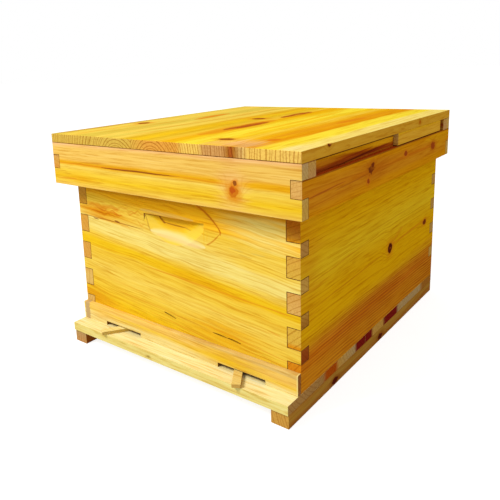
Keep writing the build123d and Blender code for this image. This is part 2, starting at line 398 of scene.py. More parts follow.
    # Bands of painted shade across the board
    for mark in look["shadeBands"]:
        share = times(between(width, mark["low"], mark["high"]), mark["share"])
        colour = mixed(share, colour, tone(mark["tone"]))
    colour = tinted(ringShare, colour, look["lateTone"])
    if look["fineRings"]:
        fine = look["fineRings"]
        fineYear = calc("FRACT", times(timesPlus(uneven, rings["fineUneven"], radius), 1 / fine["gap"]))
        fineLate = minus(faded(fineYear, *rings["fineLate"]), faded(fineYear, *rings["fineFall"]))
        inside = between(stirred, fine["low"], fine["high"])
        fineShare = times(times(fineLate, inside), times(patchy, fine["depth"]))
        colour = mixed(fineShare, colour, tone(fine["tone"]))
    fields = {kind: noise(kind, grain) for kind in ("fibre", "strand", "dash")}
    fields["blotch"] = noise("blotch")
    for kind, start, full, share, shade in tints:
        colour = tinted(faded(fields[kind], start, full, 0.0, share), colour, shade)

    # Inside a scoop the depth of the cut picks the tone, as painted shade
    if look["scoop"]:
        scoop = look["scoop"]
        sunk = faded(through, *fades["sunk"])
        for value, (low, high) in ((along, scoop["along"]), (width, scoop["across"])):
            sunk = times(sunk, calc("GREATER_THAN", value, low))
            sunk = times(sunk, calc("LESS_THAN", value, high))
        depth = timesPlus(fields["strand"], scoopStir, minus(through, scoopStir / 2))
        colour = mixed(times(sunk, scoop["share"]), colour, ramp(depth, scoop["depths"]))

    # Streaks, spindle shaped, from one place on the face to another
    for mark in look["streaks"]:
        start = mark["start"]
        run = mark["end"] - start
        fromStart = minus(along, start.x)
        upStart = plus(minus(width, start.y), times(wander, mark["sway"]))
        if mark["bow"]:
            part = times(fromStart, 1 / run.x)
            upStart = timesPlus(times(part, minus(1.0, part)), -4 * mark["bow"], upStart)
        place = plus(times(fromStart, run.x), times(upStart, run.y))
        inputs = {0: place, 1: 1 / run.length_squared}
        place = add("ShaderNodeMath", inputs, operation="MULTIPLY", use_clamp=True).outputs[0]
        offX = timesPlus(place, -run.x, fromStart)
        offY = timesPlus(place, -run.y, upStart)
        spindle = calc("SQRT", times(place, minus(1.0, place)))
        half = timesPlus(spindle, 2 * mark["wide"], streakTip * mark["wide"])
        plain = minus(calc("DIVIDE", calc("SQRT", squares(offX, offY)), half), mark["fray"] / 2)
        ragged = timesPlus(noise("frayed", grain), mark["fray"], plain)
        share = times(faded(ragged, streakEdge, mark["core"]), mark["share"])
        colour = mixed(share, colour, tone(mark["tone"]))

    for distance, mark in knotMasks:
        ragged = timesPlus(noise("chewed"), mark["ragged"], minus(distance, mark["ragged"] / 2))
        colour = mixed(times(faded(ragged, *fades["knotHalo"]), mark["halo"]), colour, tone(mark["haloTone"]))
        colour = mixed(faded(ragged, *fades["knot"]), colour, tone(mark["tone"]))
        if mark["core"]:
            colour = mixed(faded(ragged, *fades["knotCore"]), colour, tone(mark["core"]))

    # End grain drinks more wax and shows the rings plainly
    endColour = tinted(times(late, look["endRings"]), ramp(width, look["ends"]), rings["endTint"])
    endColour = tinted(faded(noise("pore"), *fades["pore"]), endColour, poreTint)
    colour = mixed(times(facing(grainAxis), look["endShare"]), colour, endColour)
    if look["strips"]:
        part = calc("FRACT", stripPlace)
        seamOff = calc("MINIMUM", part, minus(1.0, part))
        share = faded(seamOff, seam["near"] / stripWidth, seam["full"] / stripWidth, 0.0, seam["share"])
        colour = tinted(share, colour, seam["tint"])

    height = timesPlus(late, relief["rings"], times(fields["fibre"], relief["fibre"]))
    inputs = {"Height": height, "Strength": relief["strength"], "Distance": relief["distance"]}
    bumpNode = add("ShaderNodeBump", inputs)
    spread = relief["roughness"]
    shader = add("ShaderNodeBsdfPrincipled", {
        "Base Color": colour,
        "Roughness": timesPlus(fields["fibre"], spread, look["rough"] - spread / 2),
        "Normal": bumpNode.outputs[0],
        "Specular IOR Level": look["gloss"],
    })
    add("ShaderNodeOutputMaterial", {"Surface": shader.outputs[0]})
    return material


# Two shades mottled by noise: glue with dust in it, which also serves as painted shade in the entrance slots,
# or metal with dull patches
def mottledMaterial(name, scale, shades, rough, shine):
    material, add = newMaterial(name)
    place = add("ShaderNodeTexCoord").outputs["Object"]
    dull = add("ShaderNodeTexNoise", {"Vector": place, "Scale": scale, "Detail": 3.0}).outputs[0]
    ramp = add("ShaderNodeValToRGB", {0: dull})
    for element, (spot, shade) in zip(ramp.color_ramp.elements, shades.items()):
        element.position = spot
        element.color = (*shade, 1)
    worn = add("ShaderNodeMapRange", {0: dull, 3: rough[0], 4: rough[1]}).outputs[0]
    shader = add("ShaderNodeBsdfPrincipled", {"Base Color": ramp.outputs[0], "Roughness": worn, **shine})
    add("ShaderNodeOutputMaterial", {"Surface": shader.outputs[0]})
    return material


# The dark material: glue and dust in the joints, and painted shade inside the entrance slots
glueAndShade = {
    "scale": 90.0,
    "shades": {0.35: (0.12, 0.045, 0.009), 0.7: (0.30, 0.13, 0.022)},
    "rough": (0.8, 0.8),
    "shine": {"Specular IOR Level": 0.0},
}
glueAndSlotShade = mottledMaterial("glueAndSlotShade", **glueAndShade)


# Modelling helpers
def deselectAll():
    if bpy.context.object and bpy.context.object.mode != "OBJECT":
        bpy.ops.object.mode_set(mode="OBJECT")
    bpy.ops.object.select_all(action="DESELECT")


def takeUp(piece, mode="OBJECT"):
    deselectAll()
    piece.select_set(True)
    bpy.context.view_layer.objects.active = piece
    bpy.ops.object.mode_set(mode=mode)


def added(primitive, **settings):
    deselectAll()
    primitive(**settings)
    bpy.ops.object.transform_apply(location=True, rotation=True, scale=True)
    return bpy.context.object


def plank(name, low, high):
    low, high = Vector(low), Vector(high)
    piece = added(bpy.ops.mesh.primitive_cube_add, size=1, location=(low + high) / 2, scale=high - low)
    piece.name = name
    return piece


def plankOf(name, node):
    return plank(name, *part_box(node))


def pickFaces(piece, test):
    mesh = bmesh.from_edit_mesh(piece.data)
    mesh.select_mode = {"FACE"}
    for face in mesh.faces:
        face.select_set(test(face.calc_center_median(), face.normal))
    mesh.select_flush_mode()
    bmesh.update_edit_mesh(piece.data)


def bevelEdges(piece, test, width, segments):
    takeUp(piece, "EDIT")
    mesh = bmesh.from_edit_mesh(piece.data)
    mesh.select_mode = {"EDGE"}
    for edge in mesh.edges:
        edge.select_set(test(*[vertex.co for vertex in edge.verts]))
    bmesh.update_edit_mesh(piece.data)
    bpy.ops.mesh.bevel(offset=width, segments=segments, affect="EDGES")
    bpy.ops.object.mode_set(mode="OBJECT")


# Cuts the piece across, in edit mode, at each of the places along an axis
def cutAcross(axis, places):
    for place in places:
        spot, direction = Vector(), Vector()
        spot[axis] = place
        direction[axis] = 1
        bpy.ops.mesh.select_all(action="SELECT")
        bpy.ops.mesh.bisect(plane_co=spot, plane_no=direction)


# Draws the picked faces out. That leaves edges and faces in no fixed order, so they are put in one.
def drawOut(piece, step):
    bpy.ops.mesh.extrude_region_move(TRANSFORM_OT_translate={"value": step})
    mesh = bmesh.from_edit_mesh(piece.data)
    mesh.verts.index_update()
    for elements in (mesh.edges, mesh.faces):
        ordered = sorted(elements, key=lambda element: sorted(vertex.index for vertex in element.verts))
        ranks = {element: rank for rank, element in enumerate(ordered)}
        elements.sort(key=ranks.get)
    bmesh.update_edit_mesh(piece.data)


# Comb fingers: the board is cut across at each level and the faces between are drawn out at both ends
def growFingers(piece, axis, spans, reach):
    takeUp(piece, "EDIT")
    cutAcross(2, sorted({edge for span in spans for edge in span}))
    for side in (-1, 1):
        def onFinger(middle, normal):
            return normal[axis] * side > squarely and any(low < middle.z < high for low, high in spans)
        pickFaces(piece, onFinger)
        step = Vector()
        step[axis] = side * reach
        drawOut(piece, step)
    bpy.ops.object.mode_set(mode="OBJECT")


def carve(piece, cutter, operation="DIFFERENCE"):
    takeUp(piece)
    tool = piece.modifiers.new("carve", "BOOLEAN")
    tool.operation = operation
    tool.solver = "EXACT"
    tool.object = cutter
    bpy.ops.object.modifier_apply(modifier=tool.name)
    bpy.data.objects.remove(cutter, do_unlink=True)


def carveBlock(piece, low, high):
    carve(piece, plank("cutter", low, high))


def joinPieces(name, pieces):
    deselectAll()
    for piece in pieces:
        piece.select_set(True)
    bpy.context.view_layer.objects.active = pieces[0]
    bpy.ops.object.join()
    bpy.context.object.name = name
    return bpy.context.object


# Sawn edges, broken with sandpaper; glue and dust darken those at a joint, and the same dark material is
# painted shade on those inside the entrance slots
sanding = {
    "weld": 0.002 * mm,
    "flat": math.radians(0.5),
    "sharp": math.radians(40),
    "slanting": 0.97,
    "smooth": math.radians(15),
}


def softenEdges(piece, width, joint=None):
    takeUp(piece, "EDIT")
    bpy.ops.mesh.select_all(action="SELECT")
    bpy.ops.mesh.remove_doubles(threshold=sanding["weld"])
    bpy.ops.mesh.dissolve_limited(angle_limit=sanding["flat"])
    bpy.ops.mesh.normals_make_consistent(inside=False)
    bpy.ops.mesh.select_all(action="DESELECT")
    bpy.ops.mesh.select_mode(type="EDGE")
    bpy.ops.mesh.edges_select_sharp(sharpness=sanding["sharp"])
    bpy.ops.mesh.bevel(offset=width, segments=2, profile=0.5, affect="EDGES")
    if joint:
        piece.data.materials.append(None)
        piece.data.materials.append(glueAndSlotShade)
        mesh = bmesh.from_edit_mesh(piece.data)
        for face in mesh.faces:
            slanting = max(abs(part) for part in face.normal) < sanding["slanting"]
            if face.select and slanting and joint(face.calc_center_median()):
                face.material_index = 1
        bmesh.update_edit_mesh(piece.data)
    bpy.ops.object.mode_set(mode="OBJECT")
    bpy.ops.object.shade_smooth_by_angle(angle=sanding["smooth"])


# Planks one behind the other, softened and joined
def plankRow(name, low, high, fronts, depth, edge):
    pieces = []
    for front in fronts:
        piece = plank(name, (low.x, front, low.z), (high.x, front + depth, high.z))
        softenEdges(piece, edge)
        pieces.append(piece)
    return joinPieces(name, pieces)


def finishPiece(piece, nodes, body, material):
    if piece.data.materials:
        piece.data.materials[0] = material
    else:
        piece.data.materials.append(material)
    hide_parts(*nodes)
    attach(piece, body)
    return piece


# Box boards, combed at the corners
box = {
    "board": 20 * mm,
    "finger": 19 * mm,
    "firstFinger": 41 * mm,
    "fingers": 5,
    "rebateDepth": 10 * mm,
    "rebateHeight": 18 * mm,
    "edge": 0.55 * mm,
}
hold = {"width": 116, "height": 41, "depth": 11, "drop": 63, "radius": 225, "segments": 256}
slots = {"middles": (-114.0, 120.5), "width": 79, "height": 6.4}

backLow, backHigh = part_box("back_board")
boxLow = boardLow.z
boxHigh = boardHigh.z
rebateFloor = boxHigh - box["rebateHeight"]
pitch = (rebateFloor - boxLow - box["firstFinger"] - box["finger"]) / (box["fingers"] - 1)
fingerSpans = []
for count in range(box["fingers"]):
    low = boxLow + box["firstFinger"] + count * pitch
    fingerSpans.append((low, low + box["finger"]))
gapEdges = [boxLow, *[edge for span in fingerSpans for edge in span], boxHigh]
gapSpans = list(zip(gapEdges[0::2], gapEdges[1::2]))


# Scooped handhold: a wide drum, leaning, takes wood away under a straight top edge
def handholdCutter():
    top = boxHigh / mm - hold["drop"]
    half = hold["width"] / 2
    block = plank("holdCutter", hivePoint(-half, -over / mm, top - 2 * hold["height"]),
                  hivePoint(half, 2 * hold["depth"], top))
    lean = math.atan2(hold["depth"], hold["height"])
    reach = hold["radius"] / math.cos(lean)
    drum = added(bpy.ops.mesh.primitive_cylinder_add, vertices=hold["segments"], radius=hold["radius"] * mm,
                 depth=4 * hold["height"] * mm, location=hivePoint(0, hold["depth"] - reach, top),
                 rotation=(-lean, 0, 0))
    carve(block, drum, "INTERSECT")
    return block


# True at a comb joint, but not on the outer corner of the box
def atBoxJoint(place):
    fromSide = boardHigh.x - boxMiddle - abs(place.x - boxMiddle)
    fromEnd = min(place.y - boxFront, backHigh.y - place.y)
    return max(fromSide, fromEnd) > mm and fromSide < box["board"] + mm and fromEnd < box["board"] + mm


def endBoard(name):
    low, high = boardLow.copy(), boardHigh.copy()
    low.x += box["board"]
    high.x -= box["board"]
    piece = plank(name, low, high)
    growFingers(piece, 0, fingerSpans, box["board"])
    carveBlock(piece, (low.x, high.y - box["rebateDepth"], rebateFloor),
               (high.x, high.y + over, boxHigh + over))
    carve(piece, handholdCutter())
    return piece


def carveSlots(piece, front, back):
    half = slots["width"] / 2
    past = over / mm
    for middle in slots["middles"]:
        carveBlock(piece, hivePoint(middle - half, front - past, boxLow / mm - past),
                   hivePoint(middle + half, back + past, boxLow / mm + slots["height"]))


# Painted shade: the faces inside the slots take the piece's second, dark material
def inSlot(place):
    across = (place.x - boxMiddle) / mm
    reach = slots["width"] / 2 + 1
    low = place.z < boxLow + (slots["height"] + 1) * mm
    return low and any(abs(across - middle) < reach for middle in slots["middles"])


def paintSlotShade(piece):
    depths = [vertex.co.y for vertex in piece.data.vertices]
    low, high = min(depths) + mm / 2, max(depths) - mm / 2
    for face in piece.data.polygons:
        if inSlot(face.center) and low < face.center.y < high:
            face.material_index = 1


# Thin checks in the wood, cut with a lens
def carveCheck(piece, start, end, depth, height):
    run = end - start
    lens = added(bpy.ops.mesh.primitive_uv_sphere_add, segments=16, ring_count=8, radius=0.5,
                 location=(start + end) / 2, rotation=(0, -math.atan2(run.z, run.x), 0),
                 scale=(run.length, 2 * depth, height))
    carve(piece, lens)


checks = {
    "places": [((-24, 86.6), (-4, 82.5)), ((70, 79.6), (92, 78.4)), ((94, 78.6), (114, 77.0))],
    "depth": 4.0 * mm,
    "height": 2.4 * mm,
}
frontLook = {
    "lay": "front",
    "slope": 0.098,
    "waver": 6.0,
    "bands": {34: "honey", 50: "gold", 64: "gold", 90: "honey", 118: "straw", 138: "honey", 149: "honey",
              153: "gold", 162: "gold", 170: "honey", 182: "paleSap", 197: "paleSap", 212: "straw",
              232: "honey", 246: "litGold", 310: "litGold"},
    "stir": 8.0,
    # Painted shadow: a dark band on the board just under the cover's overhang
    "shadeBands": [rim((256, 263), (280, 271), "coverShadowBrown", share=0.9)],
    "gloss": 0.0,
    "pith": (-60.0, 140.0),
    "ringGap": 7.0,
    "ringDepth": 0.7,
    "lateTone": (0.82, 0.60, 0.24),
    "ends": {34: "endBrown", 74: "wine", 100: "redHeart", 112: "endBrown", 128: "endBrown", 150: "endTan",
             180: "endTan", 212: "endUmber", 302: "endUmber"},
    "endShare": 0.95,
    # Painted shade in the handhold: the tone darkens as the cut gets deeper
    "scoop": {"along": (-58.5, 58.5), "across": (190, 239.5), "share": 0.8,
              "depths": {0: "honey", 4.4: "honey", 5.4: "gold", 6.6: "amber", 9: "amber", 11.5: "copper"}},
    "patches": [
        patch((-150, 211), (95, 18), "amber", share=0.95),
        patch((-165, 212), (60, 14), "orange", share=0.6),
        patch((-195, 60), (80, 22), "orange", share=0.6),
        patch((100, 93), (90, 22), "amber", share=0.9),
        patch((60, 156), (130, 8), "amber", share=0.7),
        patch((74, 82), (84, 14), "amber", share=0.6),
        patch((150, 206), (70, 12), "honey", share=0.8),
        patch((160, 259), (85, 34), "paleSap", share=0.9),
        patch((-120, 217), (85, 21), "russet", share=0.85, curly=(4, 40, 29.0)),
        patch((-150, 214), (60, 16), "heart", share=0.6, curly=(4, 36, 53.0)),
        patch((-84, 231), (46, 12), "russet", share=0.6, curly=(3, 30, 71.0)),
    ],
    "streaks": [
        streak((46, 264), (87, 233), 7.0, "orange", share=0.45, sway=0.1, bow=4, core=-0.3),
        streak((46, 264), (87, 233), 2.6, "heart", share=0.9, sway=0.1, bow=4.5),
        streak((83.5, 238), (87.6, 230.5), 2.0, "heart", share=0.8, sway=0.1),
        streak((87.4, 233), (86.6, 226.5), 2.0, "heart", share=0.8, sway=0.1),
        streak((86, 229), (62, 209.5), 2.2, "heart", share=0.75, sway=0.1, bow=-2.3),
        streak((58, 229), (58, 211), 3.0, "amber", share=0.6, sway=0.1, core=-0.4),
        streak((64, 228), (63, 213), 2.4, "amber", share=0.5, sway=0.1, core=-0.4),
        # Painted shade: dark lines along the three checks
        streak((-27, 87.5), (-2, 82), 2.0, "pitch", share=0.95, sway=0.0),
        streak((67, 80), (93, 78.2), 2.0, "pitch", share=0.95, sway=0.0),
        streak((92, 78.6), (117, 76.6), 1.8, "pitch", share=0.95, sway=0.0),
        # Painted highlight: a pale crescent on the lower slope of the handhold
        streak((-46, 214), (60, 205), 12.0, "cream", share=0.95, sway=0.1, core=-0.1),
        streak((-34, 210), (52, 204), 8.0, "blush", share=0.5, sway=0.1, core=-0.3),
        # Painted shade: a dark band along the handhold's top edge
        streak((-55, 239), (14, 236), 5.0, "heart", share=0.6, sway=0.1, core=-0.2),
        streak((-66, 244), (40, 241), 6.0, "stripTan", share=0.6, sway=0.1, core=-0.2),
        # Painted shadow: a dark line just under the handhold's top edge
        streak((-56, 237), (-8, 236), 1.8, "resin", share=0.8, sway=0.0),
        streak((-34, 237), (-20, 227), 2.6, "resin", sway=0.0, bow=-1),
        streak((-24, 228.5), (20, 226), 1.6, "resin", share=0.75, sway=0.0, bow=-1),
        streak((16, 226.5), (31, 223.5), 1.3, "shade", share=0.7, sway=0.0),
        # Painted shade along the handhold's left end
        streak((-57, 236), (-45, 212), 2.0, "shade", share=0.65, sway=0.1),
        streak((-208, 218), (-60, 213), 1.3, "resin", sway=0.3),
        streak((-176, 215), (-163, 214), 2.0, "knot", share=0.9, sway=0.3),
        streak((-125, 217), (-112, 215), 2.2, "knot", share=0.9, sway=0.3),
        streak((-206, 231), (-120, 229), 1.8, "orange", share=0.6),
        streak((100, 212), (124, 210), 1.8, "moss", share=0.45, sway=0.2),
        streak((116, 206), (138, 204), 1.6, "shade", share=0.4, sway=0.2),
        streak((136, 211), (158, 210), 1.6, "moss", share=0.4, sway=0.2),
        streak((160, 109), (180, 106), 1.2, "russet", share=0.5, sway=0.0),
        streak((-60, 80), (70, 66), 1.4, "russet", share=0.55, sway=0.3),
        streak((10, 66), (190, 48), 1.6, "russet", share=0.5, sway=0.3),
        streak((-140, 100), (40, 84), 1.2, "russet", share=0.45, sway=0.3),
        streak((40, 90), (200, 72), 1.4, "russet", share=0.45, sway=0.3),
        streak((-60, 153.5), (198, 138.5), 2.4, "orange", share=0.8, sway=0.3),
        streak((-190, 168), (-40, 160), 1.6, "orange", share=0.4, sway=0.4),
        streak((20, 118), (190, 104), 1.0, "orange", share=0.45, sway=0.4),
        streak((-180, 118), (0, 104), 1.0, "orange", share=0.4, sway=0.4),
    ],
}
frontBoard = endBoard("frontBoard")
carveSlots(frontBoard, 0, box["board"] / mm)
softenEdges(frontBoard, box["edge"], atBoxJoint)
paintSlotShade(frontBoard)
for start, end in checks["places"]:
    carveCheck(frontBoard, hivePoint(start[0], 0, start[1]), hivePoint(end[0], 0, end[1]),
               checks["depth"], checks["height"])
finishPiece(frontBoard, ["front_board"], "hive_box", firMaterial("frontBoardFir", frontLook))

backLook = {
    "lay": "front",
    "slope": -0.05,
    "bands": {34: "gold", 70: "honey", 110: "straw", 150: "paleSap", 180: "honey", 210: "amber",
              235: "gold", 302: "straw"},
    "pith": (40.0, -260.0),
    "ringGap": 8.0,
    "ends": {34: "endTan", 160: "endBrown", 302: "endTan"},
    "knots": [knot((-96, 120), 8.0, stretch=1.3), knot((120, 84), 5.0, stretch=1.2)],
    "seed": 310.0,
}
backBoard = endBoard("backBoard")
takeUp(backBoard)
backBoard.rotation_euler = (0, 0, math.pi)
backBoard.location = Vector((backLow.x + backHigh.x, boardLow.y + backHigh.y, 0))
bpy.ops.object.transform_apply(location=True, rotation=True, scale=True)
softenEdges(backBoard, box["edge"], atBoxJoint)
finishPiece(backBoard, ["back_board"], "hive_box", firMaterial("backBoardFir", backLook))


def sideBoard(name, node):
    low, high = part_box(node)
    low.y += box["board"]
    high.y -= box["board"]
    piece = plank(name, low, high)
    growFingers(piece, 1, gapSpans, box["board"])
    softenEdges(piece, box["edge"], atBoxJoint)
    return piece


rightLook = {
    "lay": "side",
    "slope": -0.012,
    "waver": 3.5,
    "bands": {34: "orange", 56: "orange", 74: "russet", 87: "orange", 100: "amber", 109: "oliveGold",
              150: "oliveGold", 190: "gold", 240: "oliveGold", 302: "oliveGold"},
    "stir": 5.0,
    "pith": (-40.0, 330.0),
    "ringGap": 7.0,
    "ringDepth": 0.95,
    "lateStart": 0.72,
    "lateTone": (0.70, 0.50, 0.2),
    "endRings": 0.8,
    "fineRings": {"gap": 2.9, "low": (20, 34), "high": (110, 88), "depth": 0.9, "tone": "redHeart"},
    "gloss": 0.0,
    "ends": {34: "orange", 62: "orange", 75: "orange", 97: "orange", 102: "endOlive", 122: "endOlive",
             140: "endPale", 171: "endPink", 188: "endOlive", 218: "endTan", 235: "copper", 243: "endBrown",
             258: "redHeart", 302: "redHeart"},
    "knots": [
        knot((291, 149), 9.5, stretch=1.1, tone="pitch", halo=0.5, haloTone="russet", core="heart",
             ragged=0.6),
        knot((456, 153), 5.5, stretch=1.7, halo=0.6, haloTone="russet"),
    ],
    "streaks": [
        streak((10, 140), (284, 147), 1.1, "heart", share=0.7, sway=0.3),
        streak((296, 152), (470, 158), 3.0, "russet", share=0.55, sway=0.3),
        streak((292, 153), (345, 172), 8.0, "russet", share=0.7, sway=0.3, core=-0.5),
        streak((20, 176), (240, 186), 0.9, "heart", share=0.6, sway=0.3),
        streak((230, 196), (490, 200), 0.9, "heart", share=0.5, sway=0.3),
    ],
    "patches": [patch((470, 78), (110, 34), "orange", share=0.5),
                patch((230, 72), (120, 24), "heart", share=0.4),
                patch((15, 205), (55, 110), "orange", share=0.45)],
    "seed": 120.0,
}
rightBoard = sideBoard("rightBoard", "right_board")
finishPiece(rightBoard, ["right_board"], "hive_box", firMaterial("rightBoardFir", rightLook))

leftLook = {
    "lay": "side",
    "slope": 0.03,
    "bands": {34: "gold", 80: "amber", 110: "honey", 160: "straw", 210: "honey", 250: "gold", 302: "amber"},
    "pith": (120.0, -280.0),
    "ringGap": 7.5,
    "ends": {34: "endPale", 110: "endPale", 140: "endCopper", 215: "endCopper", 240: "endBrown",
             302: "endRose"},
    "knots": [knot((150, 120), 7.0, stretch=1.1), knot((390, 210), 5.0, stretch=1.3),
              knot((330, 76), 4.0)],
    "seed": 205.0,
}
leftBoard = sideBoard("leftBoard", "left_board")
finishPiece(leftBoard, ["left_board"], "hive_box", firMaterial("leftBoardFir", leftLook))
print("box boards done")

# Floor strips, the first one reaching out as the landing board
floor = {"strips": 7, "edge": 0.5 * mm}
floorLow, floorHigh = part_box("floor_boards")
stripDepth = (floorHigh.y - floorLow.y) / floor["strips"]
stripStart = (floorLow.y - boxFront) / mm
floorLook = {
    "lay": "floor",
    "bands": {-40: "landing", 44: "landing", 60: "paleSap", 200: "straw", 300: "paleSap", 520: "straw"},
    "stir": 14.0,
    "strips": {"first": stripStart, "width": stripDepth / mm, "hearts": [70, 20, 250, 150, 330, 300, 590]},
    "pith": (0.0, 90.0),
    "ends": {-33: "endEarth", 60: "endEarth", 70: "knotRed", 98: "knotRed", 108: "endTan", 160: "endGrey",
             168: "ruby", 222: "ruby", 230: "endTan", 268: "endTan", 275: "ruby", 328: "ruby",
             338: "endGrey", 445: "endGrey", 460: "endBrown", 510: "endBrown"},
    "endShare": 1.0,
    # Painted light: the faces of the floor strips that look forward or back are made paler, against the shade
    # near the ground
    "edgeTone": ("paleLitEdge", 0.9),
    "gloss": 0.0,
    "knots": [knot((-34, -33), 2.2, level=-25, stretch=1.5, tone="moss", halo=0.4, haloTone="moss")],
    "seed": 44.0,
}
stripFronts = [floorLow.y + count * stripDepth for count in range(floor["strips"])]
floorBoards = plankRow("floorBoards", floorLow, floorHigh, stripFronts, stripDepth, floor["edge"])
finishPiece(floorBoards, ["floor_boards"], "hive_box", firMaterial("floorFir", floorLook))

# Runners under the floor
runner = {"edge": 1.0 * mm}
runnerLook = {
    "lay": "side",
    "bands": {-4: "endBrown", 6: "endBrown", 14: "shade", 24: "endBrown"},
    "stir": 5.0,
    "pith": (30.0, 260.0),
    "ringGap": 5.0,
    "ringDepth": 0.7,
    "ends": {0: "endTan", 20: "endTan"},
    "endShare": 0.9,
    "endRings": 0.8,
    "gloss": 0.0,
    "knots": [knot((place, 7), 5.0, stretch=2.0, tone="pitch", halo=0.7, haloTone="resin", ragged=0.8)
              for place in (96, 258)],
    "seed": 61.0,
}
leftRunnerLook = {
    **runnerLook,
    "bands": {0: "resin", 24: "resin"},
    "ends": {0: "endPink", 20: "endGrey"},
    "seed": 66.0,
}
for side, look in (("left", leftRunnerLook), ("right", runnerLook)):
    piece = plankOf(side + "Runner", side + "_runner")
    softenEdges(piece, runner["edge"])
    finishPiece(piece, [side + "_runner"], "hive_box", firMaterial(side + "RunnerFir", look))

# Entrance strip with its two slots
entrance = {"thickness": 8, "chamfer": 1.0 * mm, "edge": 0.5 * mm}
stripLook = {
    "lay": "front",
    "slope": 0.03,
    "waver": 3.0,
    "bands": {34: "cream", 42: "cream", 49: "honey", 54: "peach", 60: "peach", 64: "stripTan"},
    "stir": 6.0,
    "pith": (-60.0, 150.0),
    "ringGap": 6.0,
    "ringDepth": 0.35,
    "ends": {34: "resin", 64: "resin"},
    "endShare": 0.9,
    "endRings": 0.8,
    "patches": [patch((95, 51), (75, 15), "gold", share=0.8),
                patch((-165, 47), (46, 16), "peach", share=0.8)],
    "streaks": [
        streak((-201.5, 20), (-201.5, 78), 7.0, "endGrey", share=1.0, sway=0.0, core=0.6),
        # Painted highlight: a pale line down the right end of the strip's front face
        streak((208.8, 26), (208.8, 70), 1.3, "cream", share=0.8, sway=0.0),
    ],
    "seed": 75.0,
}
stripLow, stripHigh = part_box("entrance_strip")
entranceStrip = plank("entranceStrip", stripLow, stripHigh)


def topFront(first, second):
    middle = (first + second) / 2
    return middle.z > stripHigh.z - mm and middle.y < stripLow.y + mm


bevelEdges(entranceStrip, topFront, entrance["chamfer"], 1)
carveSlots(entranceStrip, -entrance["thickness"], 0)
# The dark material goes on the sanded edges inside the slots too, as painted shade
softenEdges(entranceStrip, entrance["edge"], inSlot)
paintSlotShade(entranceStrip)
finishPiece(entranceStrip, ["entrance_strip"], "hive_box", firMaterial("stripFir", stripLook))

# Tongues that turn in the slots, square outside and round inside
tongueLook = {
    "lay": "floor",
    "bands": {-50: "tongueTan", 30: "tongueTan"},
    "ringGap": 4.0,
    "ends": {-50: "endEarth", 30: "endEarth"},
    "endShare": 0.95,
    "edgeTone": ("endTan", 0.8),
    "seed": 90.0,
}
paleTongueLook = {
    **tongueLook,
    "bands": {-50: "cream", 30: "cream"},
    "ends": {-50: "endOlive", 30: "endOlive"},
    "seed": 96.0,
}
tongue = {
    "pivots": (-114.0, 114.0), "turns": (-35.0, 30.5), "looks": (paleTongueLook, tongueLook),
    "reach": 38, "tail": 30, "width": 12.5, "thickness": 5.6, "tailSegments": 10,
    "bore": 1.45, "boreDepth": 20, "edge": 0.4 * mm,
}


def makeTongue(name, pivotX, turn):
    half = tongue["width"] / 2
    low = boxLow / mm
    pivot = hivePoint(pivotX, -entrance["thickness"] / 2, low)
    piece = plank(name, pivot + Vector((-half, -tongue["reach"], 0)) * mm,
                  pivot + Vector((half, tongue["tail"], tongue["thickness"])) * mm)

    def tailCorner(first, second):
        return abs(first.z - second.z) > mm and first.y > pivot.y

    bevelEdges(piece, tailCorner, half * mm, tongue["tailSegments"])
    carve(piece, added(bpy.ops.mesh.primitive_cylinder_add, vertices=24, radius=tongue["bore"] * mm,
                       depth=tongue["boreDepth"] * mm, location=pivot))
    softenEdges(piece, tongue["edge"])
    takeUp(piece, "EDIT")
    bpy.ops.mesh.select_all(action="SELECT")
    bpy.ops.transform.rotate(value=-math.radians(turn), orient_axis="Z", center_override=pivot)
    bpy.ops.object.mode_set(mode="OBJECT")
    return piece


for side, pivotX, turn, look in zip(("left", "right"), tongue["pivots"], tongue["turns"], tongue["looks"]):
    name = side + "Tongue"
    piece = makeTongue(name, pivotX, turn)
    finishPiece(piece, [side + "_tongue"], side + "_gate", firMaterial(name + "Fir", look))
print("floor and entrance done")

# Cover rails, one finger at each corner
cover = {
    "rail": 15 * mm, "finger": 22 * mm, "grooveDepth": 3 * mm, "seamReach": 1.2 * mm,
    "edge": 0.5 * mm, "sideEdge": 0.35 * mm, "panelEdge": 0.5 * mm,
}
panelLow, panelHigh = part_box("cover_top")
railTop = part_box("cover_left_rail")[1].z
railFinger = [(railTop - cover["finger"], railTop)]


# True at the rails' finger joints and where they meet the panel, but not on the outer corner
def atCoverJoint(place):
    fromSide = min(place.x - panelLow.x, panelHigh.x - place.x)
    fromEnd = min(place.y - panelLow.y, panelHigh.y - place.y)
    atFinger = max(fromSide, fromEnd) > mm and fromSide < cover["rail"] + mm and fromEnd < cover["rail"] + mm
    return abs(place.z - panelLow.z) < cover["seamReach"] or (atFinger and place.z < railTop + mm)


def endRail(name, node):
    low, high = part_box(node)
    low.x += cover["rail"]
    high.x -= cover["rail"]
    piece = plank(name, low, high)
    growFingers(piece, 0, [(low.z, railFinger[0][0]), (railTop, high.z)], cover["rail"])
    softenEdges(piece, cover["edge"], atCoverJoint)
    return piece


